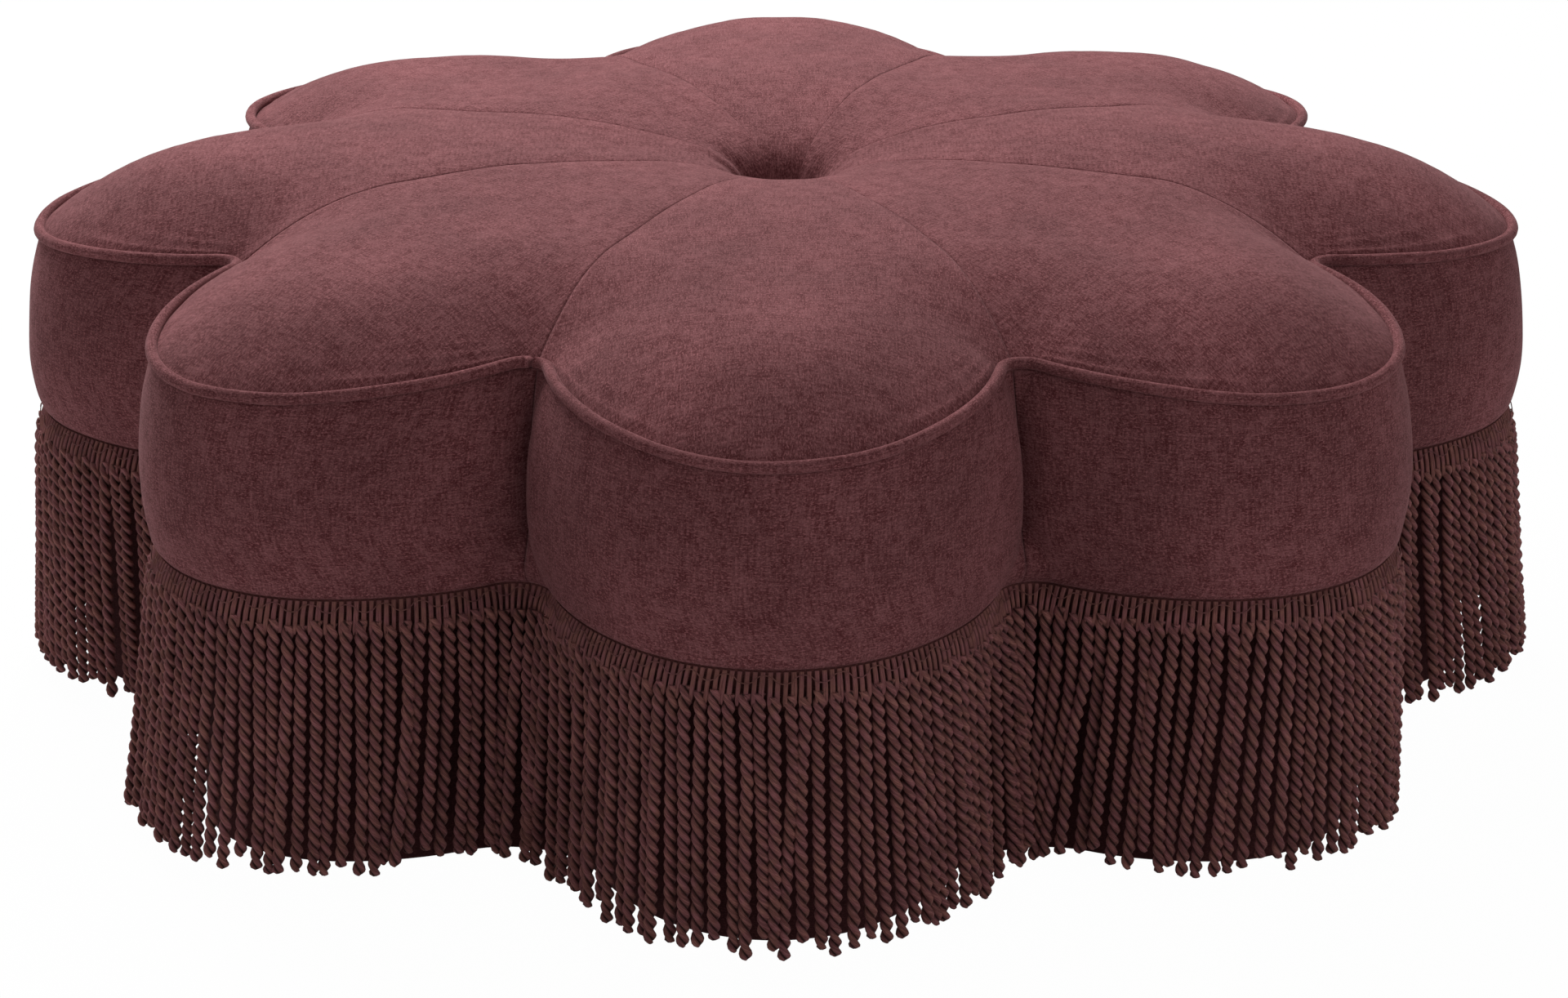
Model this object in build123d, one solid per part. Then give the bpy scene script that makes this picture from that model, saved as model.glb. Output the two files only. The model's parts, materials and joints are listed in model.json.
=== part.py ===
from build123d import *
import math
import os

# A flower-shaped upholstered ottoman: eight crowned petals round one deep tuft, a piped
# edge, bulging side panels and a bullion fringe in front of a plinth wrapped in cloth.
# Millimetres, +Z up, origin on the floor at the flower's centre, petal 1 towards -Y.

# Flower outline in plan, on the line of the piping
PETALS = 8
TIP_RADIUS = 522.0
NOTCH_RADIUS = 404.0
TIP_ARC_RADIUS = 119.0
NOTCH_ARC_RADIUS = 26.0
SIDE_TURN = 21.7

# Stack of heights, from the floor up
GLIDE_HEIGHT = 6.0
DUST_COVER_THICKNESS = 1.0
PLINTH_WALL_HEIGHT = 171.0
BASE_PLATE_THICKNESS = 18.0
DECK_RING_THICKNESS = 18.0
DECK_THICKNESS = 18.0
FOAM_THICKNESS = 104.0
WELT_RISE = 11.0

# Distances from the outline, outward positive
DECK_OVERHANG = 1.0
FOAM_INSET = 15.0
PLINTH_INSET = 29.0
PLINTH_COVER_THICKNESS = 3.0
PLINTH_WALL_THICKNESS = 8.0

# Crowned top
CROWN_RISE = 63.0
CREST_RADIUS = 209.0
DISH_DROP = 16.0
SEAM_DROP = 39.0
EDGE_RISE = 4.0
WELT_RADIUS = 4.5
CROWN_STATIONS = 9
CROWN_REACH = 1.12
CROWN_BLOCK_DEPTH = 3.0

# Central tuft
THROAT_RADIUS = 22.0
SHOULDER_RADIUS = 45.0
TUFT_DEPTH = 33.0
BUTTON_RADIUS = 17.0
BUTTON_HEIGHT = 12.0
BUTTON_RIM = 4.0
TWINE_DIAMETER = 3.0
KNOT_RADIUS = 5.0
WASHER_RADIUS = 20.0
WASHER_THICKNESS = 2.0

# Side panels
BOXING_BULGE = 12.0
BOXING_FOOT = 7.0
BOXING_DROP = 7.0
TAIL_LENGTH = 19.0
TAIL_THICKNESS = 2.7

# Bullion fringe
HEADER_HEIGHT = 26.0
HEADER_THICKNESS = 8.0
CORD_LENGTH = 168.0
CORD_WIDTH = 6.2
CORD_PITCH = 8.4

# Studs, screws and glides
STUD_WIDTH = 44.0
STUD_FROM_TIP = 182.0
RING_LAND = 88.0
SCREW_DIAMETER = 5.0
SCREW_HEAD_DIAMETER = 10.0
SCREW_SPACING = 22.0
DECK_SCREW_LENGTH = 70.0
BASE_SCREW_LENGTH = 50.0
GLIDE_RADIUS = 12.0
GLIDE_CHAMFER = 1.5
GLIDE_FROM_TIP = 92.0
GLIDE_NAIL_DIAMETER = 3.0
GLIDE_NAIL_LENGTH = 14.0

# Room left between pieces that meet on curved faces, and round a screw or nail
CLEARANCE = 0.3
SCREW_CLEARANCE = 0.1

# Levels
dust_cover_bottom = GLIDE_HEIGHT
dust_cover_top = dust_cover_bottom + DUST_COVER_THICKNESS
base_plate_top = dust_cover_top + BASE_PLATE_THICKNESS
plinth_top = dust_cover_top + PLINTH_WALL_HEIGHT
ring_top = plinth_top + DECK_RING_THICKNESS
deck_top = ring_top + DECK_THICKNESS
foam_top = deck_top + FOAM_THICKNESS
welt_level = foam_top + WELT_RISE
tuft_floor = welt_level - TUFT_DEPTH
boxing_bottom = deck_top - BOXING_DROP
header_top = boxing_bottom - CLEARANCE
header_bottom = header_top - HEADER_HEIGHT

# Offsets
crown_offset = -WELT_RADIUS - CLEARANCE
tail_inner = DECK_OVERHANG + CLEARANCE
tail_outer = tail_inner + TAIL_THICKNESS
header_inner = tail_outer + CLEARANCE
header_outer = header_inner + HEADER_THICKNESS
plinth_wall_outer = -PLINTH_INSET - PLINTH_COVER_THICKNESS - CLEARANCE
plinth_wall_inner = plinth_wall_outer - PLINTH_WALL_THICKNESS

# Places on a petal's axis
stud_radius = TIP_RADIUS - STUD_FROM_TIP
ring_opening_radius = stud_radius - STUD_WIDTH / 2 - RING_LAND
glide_radius_in_plan = TIP_RADIUS - GLIDE_FROM_TIP

# Petal geometry: a tip arc and two side arcs, with a small arc in each notch
sector_half_angle = 180.0 / PETALS
petal_angles = [-90.0 + 2 * sector_half_angle * k for k in range(PETALS)]


def polar(radius, degrees):
    """Point at a radius and an angle in plan."""
    return Vector(radius * math.cos(math.radians(degrees)), radius * math.sin(math.radians(degrees)))


notch_ray = polar(1.0, sector_half_angle)
tip_centre = Vector(TIP_RADIUS - TIP_ARC_RADIUS, 0)
notch_centre = notch_ray * (NOTCH_RADIUS + NOTCH_ARC_RADIUS)
arc_sum = TIP_ARC_RADIUS + NOTCH_ARC_RADIUS
centre_step = notch_centre - tip_centre
step_angle = math.degrees(math.atan2(centre_step.Y, centre_step.X))
straight_side_angle = step_angle - math.degrees(math.acos(arc_sum / centre_step.length))
tip_half_angle = straight_side_angle - SIDE_TURN
tip_end_ray = polar(1.0, tip_half_angle)
side_growth = (centre_step.dot(centre_step) - arc_sum**2) / (2 * (arc_sum - centre_step.dot(tip_end_ray)))
side_arc_radius = TIP_ARC_RADIUS + side_growth
side_centre = tip_centre - tip_end_ray * side_growth
side_step = notch_centre - side_centre
side_end_angle = math.degrees(math.atan2(side_step.Y, side_step.X))


def petal_edges(offset):
    """Outline of one petal on +X, from notch to notch, moved outward by offset."""
    tip = CenterArc(tip_centre, TIP_ARC_RADIUS + offset, -tip_half_angle, 2 * tip_half_angle)
    side = CenterArc(
        side_centre, side_arc_radius + offset, tip_half_angle, side_end_angle - tip_half_angle
    )
    notch = CenterArc(
        notch_centre, NOTCH_ARC_RADIUS - offset, side_end_angle + 180.0,
        sector_half_angle - side_end_angle,
    )
    lower = [edge.mirror(Plane.XZ) for edge in (notch, side)]
    return [*lower, tip, side, notch]


def petal_path(offset, level):
    """The petal's outline as one open wire at a height."""
    return Pos(0, 0, level) * Wire(petal_edges(offset))


def sector_face(offset):
    """One petal and its wedge to the flower's centre."""
    outer = NOTCH_RADIUS + offset
    start = polar(outer, -sector_half_angle)
    end = polar(outer, sector_half_angle)
    return make_face([*petal_edges(offset), Line(end, (0, 0)), Line((0, 0), start)])


def flower_face(offset):
    """The whole flower."""
    edges = [Rot(Z=angle) * edge for angle in petal_angles for edge in petal_edges(offset)]
    return make_face(edges)


def slab(face, bottom, top):
    """A face in plan raised between two heights."""
    return Pos(0, 0, bottom) * extrude(face, top - bottom)


def swept_along_petal(section):
    """Sweep a section, drawn as (offset, height), along the petal's outline."""
    start = polar(NOTCH_RADIUS, -sector_half_angle)
    ray = polar(1.0, -sector_half_angle)
    plane = Plane(start, x_dir=ray, z_dir=Vector(ray.Y, -ray.X))
    return sweep(plane * section, path=petal_path(0.0, 0.0))


def on_each_petal(solid):
    """The same solid turned to every petal in turn."""
    return [Rot(Z=angle) * solid for angle in petal_angles]


# Crowned top panels

def crest_height(radius):
    """Height over the piping along the middle of a petal."""
    if radius < CREST_RADIUS:
        return CROWN_RISE - DISH_DROP * ((CREST_RADIUS - radius) / CREST_RADIUS) ** 2
    return CROWN_RISE * (1 - ((radius - CREST_RADIUS) / (TIP_RADIUS - CREST_RADIUS)) ** 3)


def petal_half_width(x):
    """Half the petal's width across its axis, past the notch."""
    along = x - tip_centre.X
    if along > TIP_ARC_RADIUS * tip_end_ray.X:
        return math.sqrt(TIP_ARC_RADIUS**2 - along**2)
    return side_centre.Y + math.sqrt(side_arc_radius**2 - (x - side_centre.X) ** 2)


def crown_arc_radius(x):
    """Radius of the top across a petal: down to the seam first, then to the petal's edge."""
    notch_x = NOTCH_RADIUS * notch_ray.X
    if x < notch_x:
        half_width = NOTCH_RADIUS * notch_ray.Y
        return half_width**2 / (2 * SEAM_DROP) * notch_x / x
    station = min(x, tip_centre.X + TIP_ARC_RADIUS / 2)
    half_width = petal_half_width(station)
    sag = crest_height(station) - EDGE_RISE
    return (half_width**2 + sag**2) / (2 * sag)


def crown_section(x):
    """Section across a petal, wider than it: flat under and one arc over."""
    radius = crown_arc_radius(x)
    top = welt_level + crest_height(x)
    reach = CROWN_REACH * petal_half_width(tip_centre.X)
    side_top = top - radius + math.sqrt(radius**2 - reach**2)
    under = welt_level - CROWN_BLOCK_DEPTH * CROWN_RISE
    outline = [
        Line((-reach, under), (reach, under)),
        Line((reach, under), (reach, side_top)),
        ThreePointArc((reach, side_top), (0, top), (-reach, side_top)),
        Line((-reach, side_top), (-reach, under)),
    ]
    return Plane((x, 0, 0), x_dir=(0, 1, 0), z_dir=(1, 0, 0)) * make_face(outline)


def crown_block():
    """Loft along a petal's axis, wider and longer than the petal, with one section on the crest."""
    first = THROAT_RADIUS / 2
    last = TIP_RADIUS + WELT_RISE
    half = (CROWN_STATIONS - 1) // 2
    inner = [first + (CREST_RADIUS - first) * k / half for k in range(half)]
    outer = [CREST_RADIUS + (last - CREST_RADIUS) * k / half for k in range(half + 1)]
    return loft([crown_section(x) for x in inner + outer])


def tuft_cutter():
    """The tuft's throat and its rolled shoulder."""
    rim = THROAT_RADIUS + SHOULDER_RADIUS
    rim_level = welt_level + crest_height(rim)
    above = welt_level + 2 * CROWN_RISE
    shoulder_middle = polar(SHOULDER_RADIUS, 135.0) + Vector(rim, rim_level - SHOULDER_RADIUS)
    outline = [
        Line((0, tuft_floor), (THROAT_RADIUS, tuft_floor)),
        Line((THROAT_RADIUS, tuft_floor), (THROAT_RADIUS, rim_level - SHOULDER_RADIUS)),
        ThreePointArc((THROAT_RADIUS, rim_level - SHOULDER_RADIUS), shoulder_middle, (rim, rim_level)),
        Line((rim, rim_level), (rim, above)),
        Line((rim, above), (0, above)),
        Line((0, above), (0, tuft_floor)),
    ]
    return revolve(Plane.XZ * make_face(outline), Axis.Z)


def crown_panel():
    """One petal of the top: its cover and the fibre quilted behind it."""
    wedge = slab(sector_face(crown_offset), foam_top, welt_level + 2 * CROWN_RISE)
    return (crown_block() & wedge) - tuft_cutter()


# Side panels, piping and fringe

def boxing_panel():
    """One petal's side panel, bulged, with its stapled tail on the deck's edge."""
    lip = welt_level - WELT_RADIUS - CLEARANCE
    shelf = foam_top - CLEARANCE
    inner = -FOAM_INSET + CLEARANCE
    foot = deck_top + CLEARANCE
    tail_end = boxing_bottom - TAIL_LENGTH
    lip_inner = crown_offset + CLEARANCE
    corners = Polyline(
        (BOXING_FOOT, boxing_bottom), (tail_outer, boxing_bottom), (tail_outer, tail_end),
        (tail_inner, tail_end), (tail_inner, foot), (inner, foot), (inner, shelf),
        (lip_inner, shelf), (lip_inner, lip), (0, lip),
    )
    bulge = ThreePointArc((0, lip), (BOXING_BULGE, (lip + boxing_bottom) / 2), (BOXING_FOOT, boxing_bottom))
    return swept_along_petal(make_face([*corners.edges(), bulge]))


def welt_cord():
    """The piping, all round the flower."""
    piece = swept_along_petal(Pos(0, welt_level) * Circle(WELT_RADIUS))
    first, *others = on_each_petal(piece)
    return first.fuse(*others)


def fringe():
    """One petal's length of fringe: the header and the cords that hang from it."""
    middle = (header_inner + header_outer) / 2
    header_centre = Pos(middle, (header_top + header_bottom) / 2)
    header = swept_along_petal(header_centre * Rectangle(HEADER_THICKNESS, HEADER_HEIGHT))
    path = petal_path(middle, 0.0)
    count = round(path.length / CORD_PITCH)
    rooted_length = CORD_LENGTH + HEADER_HEIGHT / 2
    cord_middle = header_bottom - CORD_LENGTH + rooted_length / 2
    cord = Pos(0, 0, cord_middle) * Box(CORD_WIDTH, CORD_WIDTH, rooted_length)
    cords = []
    for k in range(count):
        share = (k + 0.5) / count
        place = path @ share
        tangent = path % share
        turn = math.degrees(math.atan2(tangent.Y, tangent.X))
        cords.append(Pos(place.X, place.Y, 0) * Rot(Z=turn) * cord)
    return header.fuse(*cords)


# Tuft hardware

def tuft_button():
    """Covered button: a flat back, a short rim and a domed face."""
    rim_top = tuft_floor + BUTTON_RIM
    face_top = tuft_floor + BUTTON_HEIGHT
    rise = face_top - rim_top
    dome_radius = (BUTTON_RADIUS**2 + rise**2) / (2 * rise)
    half_turn = math.asin(BUTTON_RADIUS / dome_radius) / 2
    dome_middle = (
        dome_radius * math.sin(half_turn),
        face_top - dome_radius + dome_radius * math.cos(half_turn),
    )
    outline = [
        Line((0, tuft_floor), (BUTTON_RADIUS, tuft_floor)),
        Line((BUTTON_RADIUS, tuft_floor), (BUTTON_RADIUS, rim_top)),
        ThreePointArc((BUTTON_RADIUS, rim_top), dome_middle, (0, face_top)),
        Line((0, face_top), (0, tuft_floor)),
    ]
    return revolve(Plane.XZ * make_face(outline), Axis.Z)


def upright_rod(radius, bottom, top):
    """A round rod on the tuft's axis."""
    return Pos(0, 0, (bottom + top) / 2) * Cylinder(radius, top - bottom)


def tuft_twine():
    """Twine from the button down through foam and deck, knotted under the washer."""
    knot_level = ring_top - WASHER_THICKNESS - KNOT_RADIUS
    rod = upright_rod(TWINE_DIAMETER / 2, knot_level, tuft_floor)
    return rod.fuse(Pos(0, 0, knot_level) * Sphere(KNOT_RADIUS))


def twine_hole(bottom, top):
    """Room for the twine between two heights."""
    return upright_rod(TWINE_DIAMETER / 2 + CLEARANCE, bottom, top)


# Wood screws and glides

def screw(length, room=0.0):
    """Countersunk screw pointing down from the origin, or its hole with room round it."""
    shank = SCREW_DIAMETER / 2 + room
    head = SCREW_HEAD_DIAMETER / 2 + room
    body = Pos(0, 0, -(length + room) / 2) * Cylinder(shank, length + room)
    cone = Pos(0, 0, -(head - shank) / 2) * Cone(shank, head, head - shank)
    return body.fuse(cone)


def screw_places():
    """Two screws on each stud, on the petal's axis."""
    steps = (-SCREW_SPACING / 2, SCREW_SPACING / 2)
    return [polar(stud_radius + step, angle) for angle in petal_angles for step in steps]


def deck_screws(room=0.0):
    """Screws from the deck's face down into the studs."""
    one = screw(DECK_SCREW_LENGTH, room)
    return [Pos(place.X, place.Y, deck_top) * one for place in screw_places()]


def base_screws(room=0.0):
    """Screws from under the base plate up into the studs."""
    one = Rot(X=180.0) * screw(BASE_SCREW_LENGTH, room)
    return [Pos(place.X, place.Y, dust_cover_top) * one for place in screw_places()]


def glide_places():
    """One glide under each petal."""
    return [polar(glide_radius_in_plan, angle) for angle in petal_angles]


def glide_nails(room=0.0):
    """The glides' nails, or their holes."""
    length = GLIDE_NAIL_LENGTH + room
    nail = Pos(0, 0, GLIDE_HEIGHT + length / 2) * Cylinder(GLIDE_NAIL_DIAMETER / 2 + room, length)
    return [Pos(place.X, place.Y, 0) * nail for place in glide_places()]


def glides():
    """Nail-on glides with a chamfered foot."""
    foot = Pos(0, 0, GLIDE_HEIGHT / 2) * Cylinder(GLIDE_RADIUS, GLIDE_HEIGHT)
    foot = chamfer(foot.edges().group_by(Axis.Z)[0], GLIDE_CHAMFER)
    feet = [Pos(place.X, place.Y, 0) * foot for place in glide_places()]
    return [one.fuse(nail) for one, nail in zip(feet, glide_nails())]


# Frame

def stud():
    """Upright between the base plate and the deck ring, on the petal's axis."""
    height = plinth_top - base_plate_top
    return Pos(stud_radius, 0, base_plate_top + height / 2) * Box(STUD_WIDTH, STUD_WIDTH, height)


def plinth_wall():
    """One petal of the bent plywood wall."""
    ring = sector_face(plinth_wall_outer) - sector_face(plinth_wall_inner)
    return slab(ring, dust_cover_top, plinth_top)


def plinth_cover():
    """Cloth with its thin backing, wrapped round the plinth wall."""
    ring = flower_face(-PLINTH_INSET) - flower_face(-PLINTH_INSET - PLINTH_COVER_THICKNESS)
    return slab(ring, dust_cover_bottom, plinth_top)


def cut_all(solid, tools):
    """A solid less every tool."""
    return solid.cut(*tools)


def build_nodes():
    """Every piece by its node name."""
    deck_holes = deck_screws(SCREW_CLEARANCE)
    base_holes = base_screws(SCREW_CLEARANCE)
    nail_holes = glide_nails(SCREW_CLEARANCE)
    ring_outline = flower_face(DECK_OVERHANG) - Circle(ring_opening_radius)
    washer = upright_rod(WASHER_RADIUS, ring_top - WASHER_THICKNESS, ring_top)
    foam = slab(flower_face(-FOAM_INSET), deck_top, foam_top)
    nodes = {
        "seat_foam": foam - tuft_cutter() - twine_hole(deck_top, tuft_floor),
        "seat_deck": cut_all(
            slab(flower_face(DECK_OVERHANG), ring_top, deck_top),
            [*deck_holes, twine_hole(ring_top, deck_top)],
        ),
        "deck_ring": cut_all(slab(ring_outline, plinth_top, ring_top), deck_holes),
        "base_plate": cut_all(
            slab(flower_face(plinth_wall_inner - CLEARANCE), dust_cover_top, base_plate_top),
            [*base_holes, *nail_holes],
        ),
        "dust_cover": cut_all(
            slab(flower_face(plinth_wall_outer), dust_cover_bottom, dust_cover_top), nail_holes
        ),
        "plinth_cover": plinth_cover(),
        "welt_cord": welt_cord(),
        "tuft_button": tuft_button(),
        "tuft_twine": tuft_twine(),
        "tuft_washer": washer - twine_hole(ring_top - WASHER_THICKNESS, ring_top),
        "deck_screws": Compound(children=deck_screws()),
        "base_screws": Compound(children=base_screws()),
        "glides": Compound(children=glides()),
    }
    repeated = {
        "crown_panel": on_each_petal(crown_panel()),
        "boxing_panel": on_each_petal(boxing_panel()),
        "fringe": on_each_petal(fringe()),
        "plinth_wall": on_each_petal(plinth_wall()),
        "stud": [cut_all(one, [*deck_holes, *base_holes]) for one in on_each_petal(stud())],
    }
    for name, solids in repeated.items():
        for number, solid in enumerate(solids, start=1):
            nodes[f"{name}_{number}"] = solid
    return nodes


os.makedirs("parts", exist_ok=True)
for node_name, node_solid in build_nodes().items():
    export_step(node_solid, f"parts/{node_name}.step")
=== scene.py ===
import json
import math

import bpy
import numpy as np
from bpy.props import FloatProperty, FloatVectorProperty, IntProperty, PointerProperty
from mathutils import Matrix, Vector, noise


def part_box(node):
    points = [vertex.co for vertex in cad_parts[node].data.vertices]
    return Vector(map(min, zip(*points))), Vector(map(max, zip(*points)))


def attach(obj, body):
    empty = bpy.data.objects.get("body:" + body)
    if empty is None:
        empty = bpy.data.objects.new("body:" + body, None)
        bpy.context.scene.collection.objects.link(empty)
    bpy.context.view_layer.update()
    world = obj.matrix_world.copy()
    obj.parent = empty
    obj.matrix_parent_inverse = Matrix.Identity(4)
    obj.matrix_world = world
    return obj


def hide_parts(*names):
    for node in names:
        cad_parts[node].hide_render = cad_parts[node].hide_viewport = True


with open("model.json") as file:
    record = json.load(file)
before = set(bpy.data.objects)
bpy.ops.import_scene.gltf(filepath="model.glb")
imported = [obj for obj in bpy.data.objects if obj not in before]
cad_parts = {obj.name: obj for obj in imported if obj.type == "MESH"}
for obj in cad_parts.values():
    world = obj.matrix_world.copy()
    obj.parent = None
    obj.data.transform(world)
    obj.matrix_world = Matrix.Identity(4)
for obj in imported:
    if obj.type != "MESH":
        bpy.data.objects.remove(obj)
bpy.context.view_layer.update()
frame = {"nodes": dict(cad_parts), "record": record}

bl_info = {
    "name": "Flower Ottoman",
    "version": (1, 0, 0),
    "blender": (4, 5, 0),
    "location": "View3D > Sidebar > Ottoman",
    "description": "Dresses a flower-shaped ottoman with its tufted top, piping and bullion fringe",
    "category": "Object",
}

BODY = "root"
PETALS = 8
SECTOR_HALF = math.pi / PETALS
PETAL_ANGLES = [math.radians(-90.0 + 45.0 * k) for k in range(PETALS)]
ARC_STEPS = (11, 13, 7)
NOTCH_RADIUS = 0.404

# One value a petal: how full it is stuffed, how far its cords drift to the right, and their seed
PETAL_FULLNESS = (1.0, 1.0, 1.10, 0.88, 0.93, 0.80, 1.02, 1.0)
FRINGE_DRIFT = (0.0, -0.008, 0.005, 0.0, 0.0, 0.0, 0.004, -0.008)
FRINGE_SEEDS = (70, 723, 729, 73, 74, 75, 725, 710)
RIB_SEED = 400
TWIST_SEED = 900

# Cloth simulation: its frames, the step between the grid rows it takes, and passes that smooth its move
SWELL_FRAMES = 20
SWELL_STRIDE = 2
SWELL_PASSES = 4

# Unevenness as waves of noise: scale, seed and height
TOP_WANDER = ((9.0, 3.1, 0.0022), (24.0, 7.7, 0.0007))
SIDE_WANDER = ((11.0, 5.3, 0.0024), (30.0, 1.9, 0.0006))
WELT_WANDER = ((14.0, 2.2, 0.0010),)
PLINTH_WANDER = ((16.0, 8.8, 0.0012),)
WANDER_FADE = 8.0

# Top panels: rings of points, the seam under the piping, the filling, the tuft's lip and its folds
THROAT_RINGS = 34
THROAT_SPREAD = 6.0
CROWN_RINGS = 62
TOP_INSET = 0.0035
TOP_TUCK = 0.004
TOP_THICKNESS = 0.004
PAD_GAP = 0.0005
FILL_START = 0.10
FILL_EASE = 0.22
LIP_RADIUS = 0.13
LIP_EASE = 0.012
VALLEY_MIDDLE = 0.60
VALLEY_WIDTH = 0.24
CREASE_WIDTH = 0.0018
FOLD_RADIUS = 0.034
FOLD_WIDTH = 0.024
FOLD_SPREAD = 0.008
FOLDS = ((2.62, 1.6), (2.98, 1.3), (3.55, 0.6), (0.42, 0.8), (1.15, 0.6), (5.4, 0.4))

# Side panels: rows of points, the notch that opens at the foot, and the rolled edge as inset and drop
SIDE_ROWS = 40
SIDE_INSET = 0.0015
SIDE_ROUNDNESS = 2.3
FOOT_FILLET = 0.022
FOOT_START = 0.66
FOOT_EASE = 0.28
CROWD_GAP = 0.012
CROWD_WIDTH = 0.014
ROLL = ((0.0012, 0.0030), (0.0034, 0.0056), (0.0064, 0.0072), (0.0096, 0.0076))
ROLL_STEP = 0.0018

# Fringe header: its line, the ribs in pairs, the tape behind them and the stitched thread
FRINGE_FILLET = 0.0255
HEADER_OFFSET = 0.0024
HEADER_LAP = 0.001
RIBS_A_CORD = 4
# RIBS_DROP starts the ribs below the header's top, baring the dark tape as a line of painted shade under
# the side panels
RIBS_DROP = 0.0085
RIB_RADIUS = 0.0011
RIB_LEAN = 0.0058
RIB_BOW = 0.0012
RIB_PAIR = 0.0007
RIB_SWAY = 0.0002
RIB_SLANT = 0.0012
TAPE_OFFSET = 0.0021
TAPE_FILLET = 0.0275
TAPE_LAP = 0.006
TAPE_THICKNESS = 0.0012
STITCH_LOOPS = 20
STITCH_RADIUS = 0.0004
STITCH_PROUD = 0.0012
STITCH_MIDDLE = 0.40
STITCH_SWING = 0.09

# Fringe cords: their line, how unevenly they hang, the two rows they lie in, and the room they keep
CORD_OFFSET = 0.0078
CORD_TIP = 0.0030
CORD_START = 0.0060
START_JITTER = 0.0022
LEAN_JITTER = 0.0018
BEND_JITTER = 0.0018
SWING_JITTER = 0.0013
EVEN_FLARE = 0.0018
TWIST_DRIFT = 4.0
END_CORDS = 4.0
CALM_LEAN = 0.4
NOTCH_REACH = 0.8
FLANK_REACH = 4.0
FLANK_CALM = 0.65
FRONT_SHARE = 0.15
ROW_PROUD = 0.0005
ROW_DEPTH = 0.0016
FLANK_DEPTH = 0.0056
SEWN_DEPTH = 0.0016
CORD_ROOM = 0.0072
MOST_PROUD = 0.006
CLOSING_PASSES = 240

# Plinth: its line, the cloth's thickness and play, and the hem
PLINTH_OFFSET = -0.0205
PLINTH_FILLET = 0.068
PLINTH_ROWS = 14
PLINTH_PLAY = 0.0012
PLINTH_THICKNESS = 0.0016
HEM_INSETS = (0.986, 0.998)
HEM_RISE = 0.002

# Threads and slubs of the cloth, a metre
THREAD_SCALE = 1000.0
SLUB_SCALE = 520.0

# Finishes by slot: name, dark and light colour, grain and its stretch, roughness, bump and metal
EVEN = (1.0, 1.0, 1.0)
FINISHES = {
    "plywood": ("birch_plywood", (0.42, 0.26, 0.12), (0.60, 0.40, 0.21), 14.0, (1.0, 9.0, 30.0), 0.7, 0.3),
    "frame_timber": (
        "pale_timber", (0.45, 0.27, 0.12), (0.62, 0.42, 0.22), 20.0, (9.0, 9.0, 0.7), 0.65, 0.3,
    ),
    "foam": ("cut_foam", (0.62, 0.55, 0.36), (0.76, 0.70, 0.50), 420.0, EVEN, 0.95, 0.5),
    "dust_cloth": ("black_nonwoven", (0.006, 0.006, 0.007), (0.022, 0.022, 0.024), 900.0, EVEN, 0.9, 0.5),
    "nylon": ("glide_nylon", (0.016, 0.014, 0.014), (0.028, 0.026, 0.026), 240.0, EVEN, 0.45, 0.1),
    "zinc_steel": ("zinc_plate", (0.50, 0.51, 0.53), (0.66, 0.67, 0.68), 160.0, EVEN, 0.35, 0.1, 1.0),
    "twine": ("flax_twine", (0.48, 0.42, 0.28), (0.62, 0.56, 0.42), 800.0, (1.0, 1.0, 0.3), 0.85, 0.5),
}
ROUGHNESS_SPREAD = 0.08

# Stage: lamps as place, target, size and power, then the camera, the floor and the light of the room
LAMPS = {
    "key": ((-0.75, 1.8, 2.3), (0.0, 0.0, 0.3), 2.2, 124.0),
    "front_fill": ((2.1, -2.7, 1.5), (0.0, 0.0, 0.2), 2.4, 13.0),
}
CAMERA_PLACE = (0.0057, -2.981, 1.2086)
CAMERA_TILT = 20.08
FLOOR_HALF = 12.0
FLOOR_WHITE = 0.985
ROOM_LIGHT = 0.24
WHITE = (1.0, 1.0, 1.0, 1.0)


def node_height(node, end):
    """Lowest (0) or highest (1) point of a CAD node."""
    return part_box(node)[end][2]


WELT_LEVEL = (node_height("welt_cord", 0) + node_height("welt_cord", 1)) / 2
HEADER_TOP = node_height("fringe_1", 1)
FRINGE_END = node_height("fringe_1", 0)
PLINTH_TOP = node_height("plinth_cover", 1)
PLINTH_FOOT = node_height("plinth_cover", 0)
PAD_FLOOR = node_height("seat_foam", 1) + PAD_GAP


def length(name, description, default):
    """A size in metres."""
    return FloatProperty(name=name, description=description, default=default, unit="LENGTH", precision=4)


def colour(name, description, default):
    """A linear colour."""
    return FloatVectorProperty(
        name=name, description=description, default=default, subtype="COLOR", min=0, max=1,
    )


class FlowerSizes(bpy.types.PropertyGroup):
    """Outline of the flower, on the line of the piping"""

    tip_radius: length("Tip radius", "Centre to a petal's tip", 0.522)
    tip_arc: length("Tip arc", "Radius of the petal's tip", 0.119)
    side_arc: length("Side arc", "Radius of the petal's sides", 0.1967)
    tip_angle: FloatProperty(
        name="Tip angle", description="Half the tip arc", default=0.733, subtype="ANGLE",
    )
    welt_notch: length("Welt notch", "Radius of the piping in a notch", 0.015)
    welt_radius: length("Welt radius", "Radius of the piping", 0.0040)
    notch_lift: length("Notch lift", "How much higher the piping is in the notches", 0.015)


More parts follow.
